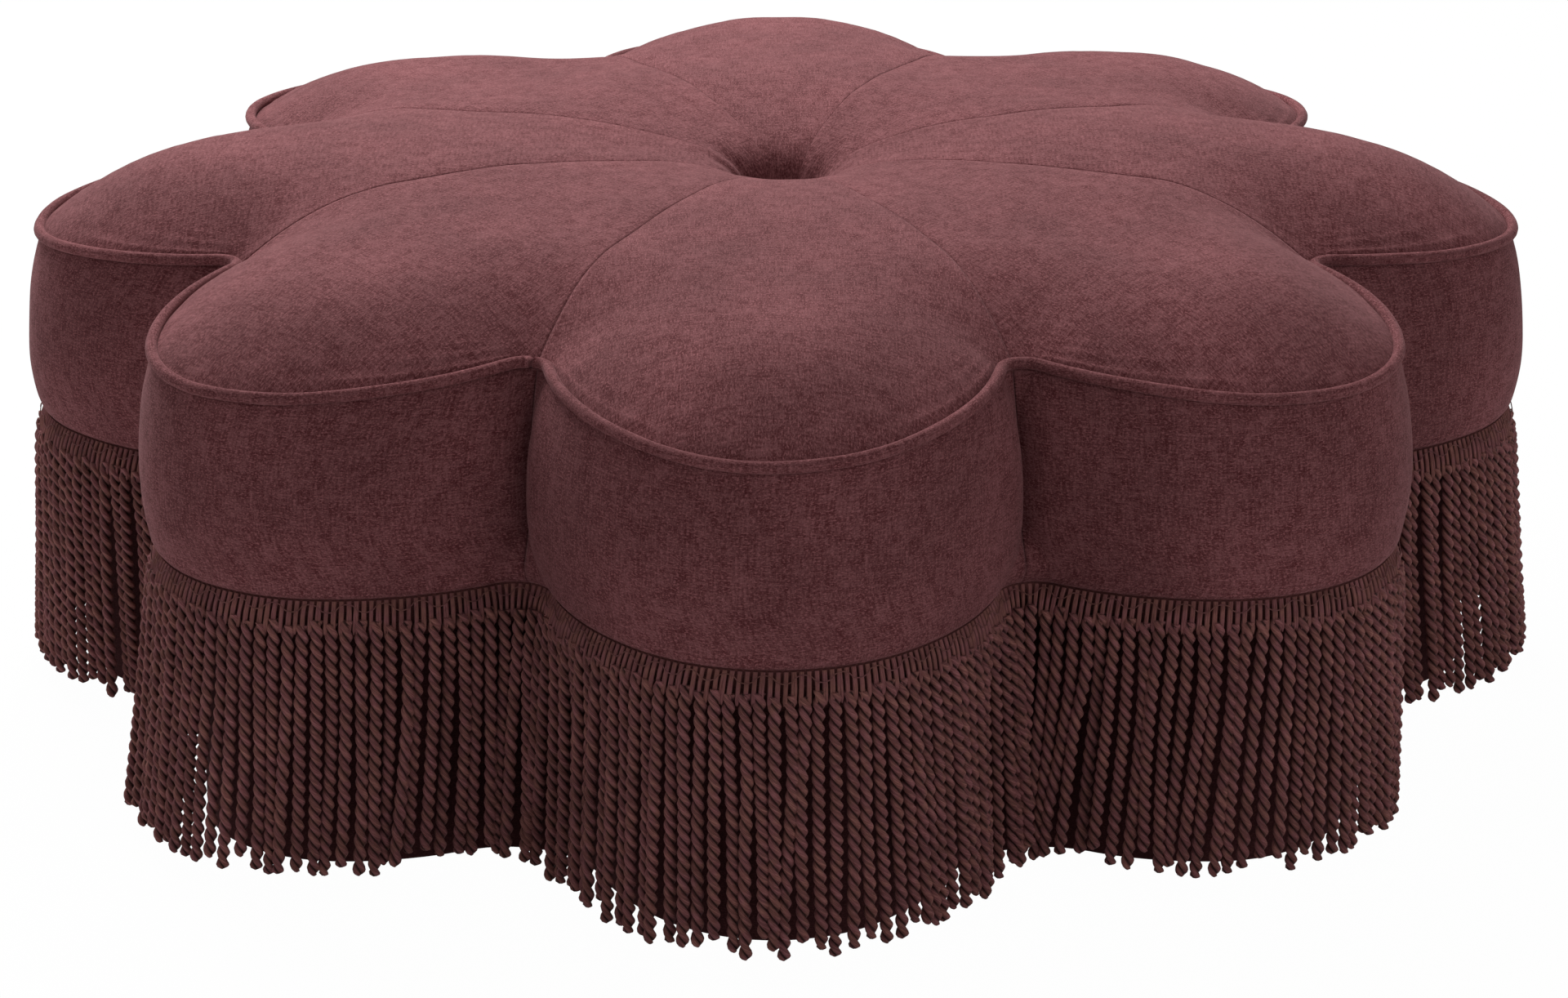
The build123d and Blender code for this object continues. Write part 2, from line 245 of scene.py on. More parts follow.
class CrownSizes(bpy.types.PropertyGroup):
    """Crowned top and its tuft"""

    rise: length("Rise", "Height of the crown over the piping", 0.063)
    crest: length("Crest", "Radius where the crown is highest", 0.20)
    cone: length("Cone", "Gentle fall of the crown from its crest to a petal's tip", 0.022)
    shoulder: length("Shoulder", "How softly the top rolls over to the piping", 0.045)
    dish: length("Dish", "Dip of the crown towards the tuft", 0.0145)
    seam_pinch: length("Seam pinch", "Depth of the crease at a seam", 0.0007)
    valley: length("Valley", "Depth of the soft hollow along a seam", 0.001)
    edge_slope: FloatProperty(name="Edge slope", description="Steepest rise from the piping", default=0.80)
    fold: length("Fold", "Depth of the tuft's folds", 0.0018)
    throat: length("Throat", "Radius of the tuft's throat", 0.014)
    throat_depth: length("Throat depth", "Depth of the steep part of the tuft", 0.068)
    throat_ease: length("Throat ease", "How far the steep part spreads", 0.0095)
    funnel_depth: length("Funnel depth", "Depth of the soft funnel round the tuft", 0.013)
    funnel_ease: length("Funnel ease", "How far the funnel spreads", 0.050)
    swell_force: FloatProperty(name="Swell force", description="Pressure of the filling", default=12.0)
    swell_cap: length("Swell cap", "How far the cloth may swell", 0.0035)
    drawn_x: length("Drawn right", "How far the tuft's lip is drawn off centre to the right", 0.0065)
    drawn_y: length("Drawn forward", "How far the tuft's lip is drawn off centre to the front", 0.0085)


class SideSizes(bpy.types.PropertyGroup):
    """Bulging side panels"""

    bulge: length("Bulge", "How far the sides swell out", 0.0085)
    foot: length("Foot", "How far the lower edge stands out", 0.0085)
    notch: length("Notch", "Radius where two side panels meet", 0.0035)
    swell_force: FloatProperty(name="Swell force", description="Pressure of the filling", default=60.0)
    swell_cap: length("Swell cap", "How far the cloth may swell", 0.006)
    thickness: length("Thickness", "Cloth and its padding", 0.002)
    crowd: length("Crowd", "How far the sides press together in a notch", 0.006)
    bottom: length("Bottom", "Height of the lower edge", 0.2060)


class FringeSizes(bpy.types.PropertyGroup):
    """Bullion fringe"""

    cords: IntProperty(name="Cords", description="Cords on each petal", default=49)
    header: length("Header", "Height of the ribbed header", 0.028)
    ply: length("Ply", "Radius of one ply", 0.00258)
    ply_offset: length("Ply offset", "Ply centre from the cord's centre", 0.00176)
    lay: length("Lay", "Length of one full twist", 0.0175)
    flare: length("Flare", "How far the cords swing out at their ends", 0.010)
    notch_flare: length("Notch flare", "How much further the cords in a notch swing out", 0.007)
    stray: length("Stray", "How far neighbouring cords lean together", 0.0033)
    uneven: length("Uneven", "How much the cords' lengths differ", 0.007)
    widest: length("Widest gap", "Most room between two neighbouring cords' centres", 0.0108)


class ClothColours(bpy.types.PropertyGroup):
    """Colours of the cloth and yarn"""

    cover: colour("Cover", "Cloth of the top and sides", (0.094, 0.0225, 0.0252))
    cover_slub: colour("Cover slub", "Lighter threads in the cloth", (0.226, 0.0860, 0.0915))
    yarn: colour("Yarn", "Fringe", (0.122, 0.0410, 0.0395))
    yarn_light: colour("Yarn light", "Lighter fibres of the fringe", (0.252, 0.111, 0.102))
    plinth: colour("Plinth", "Cloth of the plinth", (0.052, 0.0165, 0.0175))


# Geometry helpers


def limited(values):
    """Values kept between 0 and 1."""
    return np.clip(values, 0.0, 1.0)


def bell(values, middle, width):
    """A bell curve that is 1 at its middle."""
    return np.exp(-(((values - middle) / width) ** 2))


def unit(vectors):
    """Vectors brought to length 1."""
    return vectors / np.linalg.norm(vectors, axis=-1, keepdims=True)


def petal_outline(sizes, offset, fillet, dense=1):
    """Points round one petal on +X from notch to notch, moved outward by offset."""
    ray = np.array([math.cos(SECTOR_HALF), math.sin(SECTOR_HALF)])
    tip_ray = np.array([math.cos(sizes.tip_angle), math.sin(sizes.tip_angle)])
    tip_centre = np.array([sizes.tip_radius - sizes.tip_arc, 0.0])
    side_centre = tip_centre - (sizes.side_arc - sizes.tip_arc) * tip_ray
    side_radius = sizes.side_arc + offset
    along = ray @ side_centre
    reach = along + math.sqrt((side_radius + fillet) ** 2 - side_centre @ side_centre + along**2)
    notch_centre = reach * ray
    end = math.atan2(*(notch_centre - side_centre)[::-1])
    tip_steps, side_steps, notch_steps = ARC_STEPS

    def arc(centre, radius, start, stop, steps):
        turns = np.linspace(start, stop, steps * dense + 1)
        return centre + radius * np.column_stack([np.cos(turns), np.sin(turns)])

    tip = arc(tip_centre, sizes.tip_arc + offset, 0.0, sizes.tip_angle, tip_steps)
    side = arc(side_centre, side_radius, sizes.tip_angle, end, side_steps)
    notch = arc(notch_centre, fillet, end + math.pi, SECTOR_HALF + math.pi, notch_steps)
    upper = np.vstack([tip, side[1:], notch[1:]])
    lower = upper[:0:-1] * (1.0, -1.0)
    return np.vstack([lower, upper])


def run_lengths(points):
    """Length of a line up to each of its points."""
    return np.concatenate([[0.0], np.cumsum(np.linalg.norm(np.diff(points, axis=0), axis=1))])


def resampled(points, shares, values=None):
    """A line's points at shares of its length, or values that its points carry."""
    at = run_lengths(points)
    carried = points if values is None else values
    return np.column_stack([np.interp(shares * at[-1], at, column) for column in carried.T])


def outward(points):
    """Outward normals and tangents of a line that runs round a petal anticlockwise."""
    tangent = unit(np.gradient(points, axis=0))
    return np.column_stack([tangent[:, 1], -tangent[:, 0]]), tangent


def turned(points, angle):
    """Points turned about the flower's axis."""
    c, s = math.cos(angle), math.sin(angle)
    out = np.array(points, dtype=float)
    out[..., 0] = c * points[..., 0] - s * points[..., 1]
    out[..., 1] = s * points[..., 0] + c * points[..., 1]
    return out


def raised(line, level):
    """A line in plan with its height, one for all points or one for each."""
    return np.column_stack([line, np.broadcast_to(level, len(line))])


def wander(points, waves):
    """Smooth noise at many points."""
    total = np.zeros(points.shape[:-1])
    for scale, seed, height in waves:
        values = [noise.noise(Vector(p)) for p in points.reshape(-1, 3) * scale + seed]
        total += np.array(values).reshape(total.shape) * height
    return total


def strip(first, second):
    """Four-sided faces between two lines of vertices."""
    corners = [first[..., :-1], first[..., 1:], second[..., 1:], second[..., :-1]]
    return np.stack(corners, axis=-1).reshape(-1, 4)


def new_object(name, data):
    """An object in the scene."""
    made = bpy.data.objects.new(name, data)
    bpy.context.scene.collection.objects.link(made)
    return made


def set_uv(mesh, uv):
    """UV map from one place a vertex."""
    corner = np.zeros(len(mesh.loops), dtype=np.int32)
    mesh.loops.foreach_get("vertex_index", corner)
    layer = mesh.uv_layers.new(name="UVMap")
    layer.data.foreach_set("uv", uv[corner].astype(np.float32).ravel())


def grid_piece(name, points, uv, material, back=None, wrap=False):
    """A closed piece from a grid of points, rows by columns: with a back grid, or with capped ends."""
    rows, cols = points.shape[:2]
    front = np.arange(rows * cols).reshape(rows, cols)
    if wrap:
        front = np.column_stack([front, front[:, :1]])
    faces = strip(front[:-1], front[1:]).tolist()
    smooth = len(faces)
    if back is None:
        faces += [front[0, -2::-1].tolist(), front[-1, :-1].tolist()]
    else:
        rear = front + rows * cols
        points = np.concatenate([points, back])
        uv = np.concatenate([uv, uv])
        faces += strip(rear[1:], rear[:-1]).tolist()
        smooth = len(faces)
        faces += strip(rear[0], front[0]).tolist()
        faces += strip(front[-1], rear[-1]).tolist()
        if not wrap:
            faces += strip(front[:, 0], rear[:, 0]).tolist()
            faces += strip(rear[:, -1], front[:, -1]).tolist()
    mesh = bpy.data.meshes.new(name)
    mesh.from_pydata(points.reshape(-1, 3).tolist(), [], faces)
    set_uv(mesh, uv.reshape(-1, 2))
    mesh.polygons.foreach_set("use_smooth", np.arange(len(faces)) < smooth)
    mesh.materials.append(material)
    return new_object(name, mesh)


def held_edges(shape, first, last, ends):
    """Mask of the rows and columns along which a panel is sewn."""
    held = np.zeros(shape, dtype=bool)
    held[:first] = held[-last:] = held[:, :ends] = held[:, -ends:] = True
    return held


def swelled(points, held, force, cap):
    """A sewn panel that swells as cloth under the pressure of its filling, short of a cap."""
    scene = bpy.context.scene
    sizes = points.shape[:2]
    every = [np.unique(np.append(np.arange(0, size, SWELL_STRIDE), size - 1)) for size in sizes]
    coarse = points[np.ix_(*every)]
    rows, cols = coarse.shape[:2]
    index = np.arange(rows * cols).reshape(rows, cols)
    mesh = bpy.data.meshes.new("swell")
    mesh.from_pydata(coarse.reshape(-1, 3).tolist(), [], strip(index[:-1], index[1:]).tolist())
    panel = new_object("swell", mesh)
    sewn = panel.vertex_groups.new(name="sewn")
    sewn.add(index[held[np.ix_(*every)]].tolist(), 1.0, "REPLACE")
    cloth = panel.modifiers.new("Cloth", "CLOTH")
    cloth.settings.vertex_group_mass = sewn.name
    cloth.settings.use_pressure = True
    cloth.settings.uniform_pressure_force = force
    cloth.settings.effector_weights.gravity = 0.0
    cloth.collision_settings.use_collision = False
    cloth.point_cache.frame_start = 1
    cloth.point_cache.frame_end = SWELL_FRAMES
    for number in range(1, SWELL_FRAMES + 1):
        scene.frame_set(number)
    graph = bpy.context.evaluated_depsgraph_get()
    shaped = panel.evaluated_get(graph).to_mesh()
    place = np.zeros(rows * cols * 3, dtype=np.float32)
    shaped.vertices.foreach_get("co", place)
    scene.frame_set(1)
    bpy.data.objects.remove(panel)
    bpy.data.meshes.remove(mesh)
    move = place.reshape(coarse.shape) - coarse
    reach = np.linalg.norm(move, axis=-1, keepdims=True)
    move *= cap / (cap + reach)
    for axis, size in enumerate(sizes):
        spots = np.arange(size)
        move = np.apply_along_axis(lambda line: np.interp(spots, every[axis], line), axis, move)
    for _ in range(SWELL_PASSES):
        for axis in (0, 1):
            ahead = np.roll(move, -1, axis)
            behind = np.roll(move, 1, axis)
            move = 0.5 * move + 0.25 * (ahead + behind)
            for end in (0, -1):
                np.moveaxis(move, axis, 0)[end] = 0.0
    return points + move


def surface_normals(points):
    """Normals of a grid whose rows go up and whose columns go round anticlockwise."""
    normal = np.cross(np.gradient(points, axis=1), np.gradient(points, axis=0))
    return normal / np.maximum(np.linalg.norm(normal, axis=-1, keepdims=True), 1e-9)


def welt_height(sizes, points):
    """Height of the piping over a point in plan: it dips at the petals' tips."""
    radius = np.hypot(points[..., 0], points[..., 1])
    share = limited((sizes.tip_radius - radius) / (sizes.tip_radius - NOTCH_RADIUS))
    return WELT_LEVEL + sizes.notch_lift * share**0.75


def fringe_line(context, offset, count):
    """Even places along one petal's fringe, with their outward and along directions."""
    line = petal_outline(context.scene.ottoman_flower, offset, FRINGE_FILLET, dense=6)
    normal, tangent = outward(line)
    shares = (np.arange(count) + 0.5) / count
    ways = [unit(resampled(line, shares, way)) for way in (normal, tangent)]
    return resampled(line, shares), *ways


# Node helpers


def new_tree(name, kind, inputs, outputs):
    """An empty node group with named sockets."""
    tree = bpy.data.node_groups.new(name, kind)
    for way, sockets in (("INPUT", inputs), ("OUTPUT", outputs)):
        for label, socket in sockets.items():
            tree.interface.new_socket(label, in_out=way, socket_type="NodeSocket" + socket)
    return tree, tree.nodes.new("NodeGroupInput"), tree.nodes.new("NodeGroupOutput")


def cleared(owner):
    """The emptied node tree of a material or a world."""
    owner.use_nodes = True
    owner.node_tree.nodes.clear()
    return owner.node_tree


def feed(tree, node, inputs):
    """Feeds a node's inputs with sockets or values."""
    for key, value in inputs.items():
        if isinstance(value, bpy.types.NodeSocket):
            tree.links.new(value, node.inputs[key])
        else:
            node.inputs[key].default_value = value
    return node


def fed(tree, kind, inputs=(), **settings):
    """Adds a node, sets its properties and feeds its inputs."""
    node = tree.nodes.new(kind)
    for key, value in settings.items():
        setattr(node, key, value)
    return feed(tree, node, dict(inputs))


def sums(tree, operation, a, b=0.0, clamp=False):
    """A math node's result."""
    return fed(tree, "ShaderNodeMath", {0: a, 1: b}, operation=operation, use_clamp=clamp).outputs[0]


def vector_sums(tree, operation, a, b):
    """A vector math node's result."""
    second = "Scale" if operation == "SCALE" else 1
    return fed(tree, "ShaderNodeVectorMath", {0: a, second: b}, operation=operation).outputs[0]


def speckle(tree, place, scale, detail, roughness=0.5, **settings):
    """A noise texture's value."""
    given = {"Vector": place, "Scale": scale, "Detail": detail, "Roughness": roughness}
    return fed(tree, "ShaderNodeTexNoise", given, **settings).outputs[0]


def ranged(tree, value, low, high, least=0.0, most=1.0, **settings):
    """A value brought from one range to another."""
    given = {"Value": value, "From Min": low, "From Max": high, "To Min": least, "To Max": most}
    return fed(tree, "ShaderNodeMapRange", given, **settings).outputs[0]


def bumped(tree, height, strength, distance):
    """Normals of a fine relief."""
    given = {"Strength": strength, "Distance": distance, "Height": height}
    return fed(tree, "ShaderNodeBump", given).outputs[0]


def mixed_colour(tree, share, first, second):
    """Colour between two, which are sockets or plain colours."""
    ends = [c if isinstance(c, bpy.types.NodeSocket) else (*c, 1.0) for c in (first, second)]
    return fed(tree, "ShaderNodeMix", {0: share, 6: ends[0], 7: ends[1]}, data_type="RGBA").outputs[2]


def seen_rays(tree):
    """Mask of the rays that show a surface to the viewer, straight or mirrored."""
    path = fed(tree, "ShaderNodeLightPath").outputs
    seen = sums(tree, "MAXIMUM", path["Is Camera Ray"], path["Is Glossy Ray"])
    return sums(tree, "MAXIMUM", seen, path["Is Transmission Ray"])


# Cords


def trim_tree():
    """Geometry nodes that sweep a one-ply or two-ply cord along every spline."""
    name = "Corded trim"
    if name in bpy.data.node_groups:
        return bpy.data.node_groups[name]
    sockets = {
        "Geometry": "Geometry", "Ply Radius": "Float", "Ply Offset": "Float", "Lay": "Float",
        "Step": "Float", "Tip": "Float", "Sides": "Int", "Material": "Material",
    }
    tree, start, end = new_tree(name, "GeometryNodeTree", sockets, {"Geometry": "Geometry"})
    given = start.outputs

    def step(kind, inputs=(), output=0, **settings):
        return fed(tree, "GeometryNode" + kind, inputs, **settings).outputs[output]

    def marked(geometry, label, value):
        inputs = {"Geometry": geometry, "Name": label, "Value": value}
        return step("StoreNamedAttribute", inputs, data_type="FLOAT", domain="POINT")

    cord = step("ResampleCurve", {"Curve": given["Geometry"], "Length": given["Step"]}, mode="LENGTH")
    along = step("SplineParameter", output="Length")
    turns = sums(tree, "DIVIDE", along, given["Lay"])
    tilt = sums(tree, "MULTIPLY", turns, -2.0 * math.pi)
    tilt = sums(tree, "ADD", tilt, step("InputCurveTilt"))
    cord = step("SetCurveTilt", {"Curve": cord, "Tilt": tilt})
    tip_start = sums(tree, "SUBTRACT", step("SplineLength", output="Length"), given["Tip"])
    past = sums(tree, "SUBTRACT", along, tip_start)
    share = sums(tree, "DIVIDE", past, given["Tip"], clamp=True)
    round_end = sums(tree, "SQRT", sums(tree, "SUBTRACT", 1.0, sums(tree, "POWER", share, 2.0)))
    cord = step("SetCurveRadius", {"Curve": cord, "Radius": sums(tree, "MAXIMUM", round_end, 0.30)})
    cord = marked(cord, "cord_along", along)
    profile = step("CurvePrimitiveCircle", {"Resolution": given["Sides"], "Radius": 1.0})
    place = step("InputPosition")
    axes = fed(tree, "ShaderNodeSeparateXYZ", {0: place}).outputs
    lean = sums(tree, "MULTIPLY", given["Ply Offset"], sums(tree, "ABSOLUTE", axes["X"]))
    across = sums(tree, "MULTIPLY", given["Ply Offset"], axes["Y"])
    round_ply = sums(tree, "POWER", given["Ply Radius"], 2.0)
    square = sums(tree, "SUBTRACT", round_ply, sums(tree, "MULTIPLY", across, across))
    reach = sums(tree, "ADD", lean, sums(tree, "SQRT", square))
    lobed = vector_sums(tree, "SCALE", place, reach)
    profile = step("SetPosition", {"Geometry": profile, "Position": lobed})
    profile = marked(profile, "cord_round", step("SplineParameter", output="Factor"))
    sweep = {"Curve": cord, "Profile Curve": profile, "Scale": step("InputRadius"), "Fill Caps": True}
    smooth = step("SetShadeSmooth", {"Geometry": step("CurveToMesh", sweep)})
    real = step("RealizeInstances", {"Geometry": smooth})
    dressed = step("SetMaterial", {"Geometry": real, "Material": given["Material"]})
    tree.links.new(dressed, end.inputs[0])
    return tree


def trim_piece(name, routes, material, ply, step, sides, offset=0.0, lay=1.0, tip=0.0001, closed=False,
               seed=None):
    """A piece of cord or yarn swept along routes by the trim tree, as a plain mesh."""
    curve = bpy.data.curves.new(name + "_path", "CURVE")
    curve.dimensions = "3D"
    for route in routes:
        spline = curve.splines.new("POLY")
        spline.points.add(len(route) - 1)
        spline.points.foreach_set("co", np.column_stack([route, np.ones(len(route))]).ravel())
        spline.use_cyclic_u = closed
        if seed is not None:
            first = seed.uniform(0.0, 2 * math.pi)
            drift = seed.normal(0.0, TWIST_DRIFT)
            twist = first + drift * np.linspace(0.0, 1.0, len(route)) ** 1.2
            spline.points.foreach_set("tilt", twist)
    host = new_object(name + "_path", curve)
    modifier = host.modifiers.new("Trim", "NODES")
    tree = trim_tree()
    modifier.node_group = tree
    values = {
        "Ply Radius": ply, "Ply Offset": offset, "Lay": lay, "Step": step, "Tip": tip, "Sides": sides,
        "Material": material,
    }
    for item in tree.interface.items_tree:
        if item.in_out == "INPUT" and item.name in values:
            modifier[item.identifier] = values[item.name]
    graph = bpy.context.evaluated_depsgraph_get()
    mesh = bpy.data.meshes.new_from_object(host.evaluated_get(graph), depsgraph=graph)
    mesh.name = name
    bpy.data.objects.remove(host)
    bpy.data.curves.remove(curve)
    return new_object(name, mesh)


def cord_uv(piece, girth):
    """UV map of a swept cord: along it, and round it."""
    mesh = piece.data
    along, around = np.zeros((2, len(mesh.vertices)), dtype=np.float32)
    mesh.attributes["cord_along"].data.foreach_get("value", along)
    mesh.attributes["cord_round"].data.foreach_get("value", around)
    set_uv(mesh, np.column_stack([along, around * girth]))


# Shader groups and materials


def weave_group():
    """Cloth weave on the UV map: slubs both ways, flecks, patches and a height."""
    name = "Slub weave"
    if name in bpy.data.node_groups:
        return bpy.data.node_groups[name]
    inputs = {"Vector": "Vector", "Thread": "Float", "Slub": "Float"}
    outputs = dict.fromkeys(("Slub", "Fleck", "Patch", "Height"), "Float")
    tree, start, end = new_tree(name, "ShaderNodeTree", inputs, outputs)
    place, thread, slub = (start.outputs[key] for key in inputs)

    def woven(scale, detail, roughness, stretch=None):
        way = vector_sums(tree, "MULTIPLY", place, stretch) if stretch else place
        return speckle(tree, way, scale, detail, roughness, noise_dimensions="2D")

    streaks = [woven(slub, 3.0, 0.65, stretch) for stretch in ((0.16, 1.0, 1.0), (1.0, 0.16, 1.0))]
    both = sums(tree, "MULTIPLY", sums(tree, "ADD", *streaks), 0.50)
    threads = sums(tree, "ADD", both, sums(tree, "MULTIPLY", woven(thread, 2.0, 0.6), 0.60))
    mixed = sums(tree, "ADD", threads, sums(tree, "MULTIPLY", woven(75.0, 3.0, 0.6), 0.35))
    feed(tree, end, {
        "Slub": ranged(tree, mixed, 0.82, 1.17),
        "Fleck": ranged(tree, woven(thread, 1.0, 0.5, (0.45, 1.0, 1.0)), 0.55, 0.72),
        "Patch": woven(9.0, 3.0, 0.55),
        "Height": mixed,
    })
    return tree


def blank_material(name):
    """A material with only its Principled shader and output."""
    material = bpy.data.materials.new(name)
    tree = cleared(material)
    shader = tree.nodes.new("ShaderNodeBsdfPrincipled")
    fed(tree, "ShaderNodeOutputMaterial", {0: shader.outputs[0]})
    return material, tree, shader


def cloth_material(name, base, light, bump=0.5, sheen=0.16):
    """Heathered woven cloth with a soft sheen."""
    if name in bpy.data.materials:
        return bpy.data.materials[name]
    material, tree, shader = blank_material(name)
    place = fed(tree, "ShaderNodeTexCoord").outputs["UV"]
    given = {"Vector": place, "Thread": THREAD_SCALE, "Slub": SLUB_SCALE}
    weave = fed(tree, "ShaderNodeGroup", given, node_tree=weave_group()).outputs
    heather = mixed_colour(tree, weave["Slub"], base, light)
    sparse = sums(tree, "MULTIPLY", weave["Fleck"], 0.75)
    heather = mixed_colour(tree, sparse, heather, [1.45 * c for c in light])
    patch = ranged(tree, weave["Patch"], 0.3, 0.7, 0.86, 1.12)
    feed(tree, shader, {
        "Base Color": vector_sums(tree, "SCALE", heather, patch),
        "Normal": bumped(tree, weave["Height"], bump, 0.0006),
        "Roughness": 0.95, "Specular IOR Level": 0.08,
        "Sheen Weight": sheen, "Sheen Roughness": 0.45, "Sheen Tint": (0.62, 0.36, 0.37, 1.0),
    })
    return material


def yarn_material(name, base, light, hollow=0.0):
    """Spun yarn: fibres that run round with the twist, with painted shade in the hollow between two plies
    and a painted highlight on each ply's crown.
    """
    if name in bpy.data.materials:
        return bpy.data.materials[name]
    material, tree, shader = blank_material(name)
    along = fed(tree, "ShaderNodeAttribute", attribute_name="cord_along").outputs["Fac"]
    around = fed(tree, "ShaderNodeAttribute", attribute_name="cord_round").outputs["Fac"]
    place = fed(tree, "ShaderNodeTexCoord").outputs["Object"]
    fibre = fed(tree, "ShaderNodeCombineXYZ", {
        "X": sums(tree, "MULTIPLY", along, 160.0), "Y": sums(tree, "MULTIPLY", around, 26.0),
    }).outputs[0]
    spot = vector_sums(tree, "ADD", fibre, vector_sums(tree, "SCALE", place, 90.0))
    streak = speckle(tree, spot, 1.0, 3.0, 0.6)
    mask = ranged(tree, streak, 0.35, 0.68)
    shade = ranged(tree, speckle(tree, place, 38.0, 2.0), 0.3, 0.7, 0.82, 1.15)
    drift = ranged(tree, speckle(tree, place, 120.0, 1.0), 0.38, 0.62)
    plum = [light[0] * 1.02, light[1] * 0.92, light[2] * 1.08]
    brown = [light[0] * 1.04, light[1] * 1.04, light[2] * 0.93]
    tinted = mixed_colour(tree, mask, base, mixed_colour(tree, drift, plum, brown))
    # Painted light: the colour is darkened in the groove between the two plies as painted shade and lifted
    # on each ply's crown as a painted highlight, both scaled by hollow
    turn = sums(tree, "ABSOLUTE", sums(tree, "COSINE", sums(tree, "MULTIPLY", around, 2.0 * math.pi)))
    painted_groove_shade = ranged(tree, turn, 0.0, 0.60, 1.0 - hollow, 1.0, interpolation_type="SMOOTHSTEP")
    crown = sums(tree, "MULTIPLY", sums(tree, "POWER", turn, 2.0), 0.45 * hollow)
    # depth is the random tone times the painted groove shade and the painted crown highlight
    depth = sums(tree, "MULTIPLY", shade, sums(tree, "ADD", painted_groove_shade, crown))
    feed(tree, shader, {
        "Base Color": vector_sums(tree, "SCALE", tinted, depth),
        "Normal": bumped(tree, streak, 0.55, 0.0005),
        "Roughness": 0.85, "Specular IOR Level": 0.12,
        "Sheen Weight": 0.05, "Sheen Roughness": 0.5, "Sheen Tint": (0.6, 0.4, 0.4, 1.0),
    })
    return material


def plain_material(name, base, light, scale, stretch, roughness, bump, metallic=0.0):
    """Material of the frame and its hardware: streaked or speckled noise on Object coordinates."""
    if name in bpy.data.materials:
        return bpy.data.materials[name]
    material, tree, shader = blank_material(name)
    place = fed(tree, "ShaderNodeTexCoord").outputs["Object"]
    way = fed(tree, "ShaderNodeMapping", {"Vector": place, "Scale": stretch}).outputs[0]
    grain = speckle(tree, way, scale, 5.0, 0.6)
    least = roughness - ROUGHNESS_SPREAD
    most = min(roughness + ROUGHNESS_SPREAD, 1.0)
    feed(tree, shader, {
        "Base Color": mixed_colour(tree, ranged(tree, grain, 0.3, 0.7), base, light),
        "Roughness": ranged(tree, grain, 0.0, 1.0, least, most),
        "Normal": bumped(tree, grain, bump, 0.0004),
        "Metallic": metallic,
    })
    return material


def dyed(tone, depth=1.0):
    """One of the colours, made paler or deeper."""
    return [depth * c for c in getattr(bpy.context.scene.ottoman_cloth, tone)]


def cover_cloth():
    """Cloth of the top, the sides, the piping and the button."""
    return cloth_material("plum_chenille", dyed("cover"), dyed("cover_slub"))


def tape_cloth():
    """Woven tape behind the header's ribs, dyed darker than the yarn: above the ribs it shows as a dark
    line under the side panels, painted shade.
    """
    return cloth_material("header_tape", dyed("yarn", 0.6), dyed("yarn", 0.8), bump=0.3)


def plinth_cloth():
    """Darker cloth of the plinth."""
    return cloth_material("dark_plinth_wrap", dyed("plinth"), dyed("plinth", 1.5), bump=0.3, sheen=0.1)


def fringe_yarn():
    """Yarn of the cords, with strong painted shade in the grooves between plies and painted highlights on
    their crowns.
    """
    return yarn_material("bullion_yarn", dyed("yarn"), dyed("yarn_light"), 0.90)


def header_yarn():
    """Yarn of the header's ribs."""
    return yarn_material("header_yarn", dyed("yarn", 1.25), dyed("yarn_light", 1.25))


def stitch_thread():
    """Thread of the header's stitched line, dyed darker than the ribs' yarn as painted shade."""
    return yarn_material("stitch_thread", dyed("yarn", 0.85), dyed("yarn_light"))


# Pieces


def settle(piece, nodes):
    """Rides the piece on the body, in place of its CAD nodes."""
    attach(piece, BODY)
    if nodes:
        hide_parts(*nodes)


def fullness(around):
    """How full each petal is stuffed, eased from one petal to the next."""
    step = (around - PETAL_ANGLES[0]) / (2 * SECTOR_HALF)
    first = np.floor(step).astype(int)
    ease = 0.5 - 0.5 * np.cos(math.pi * (step - first))
    fill = np.array(PETAL_FULLNESS)
    return fill[first % PETALS] * (1.0 - ease) + fill[(first + 1) % PETALS] * ease


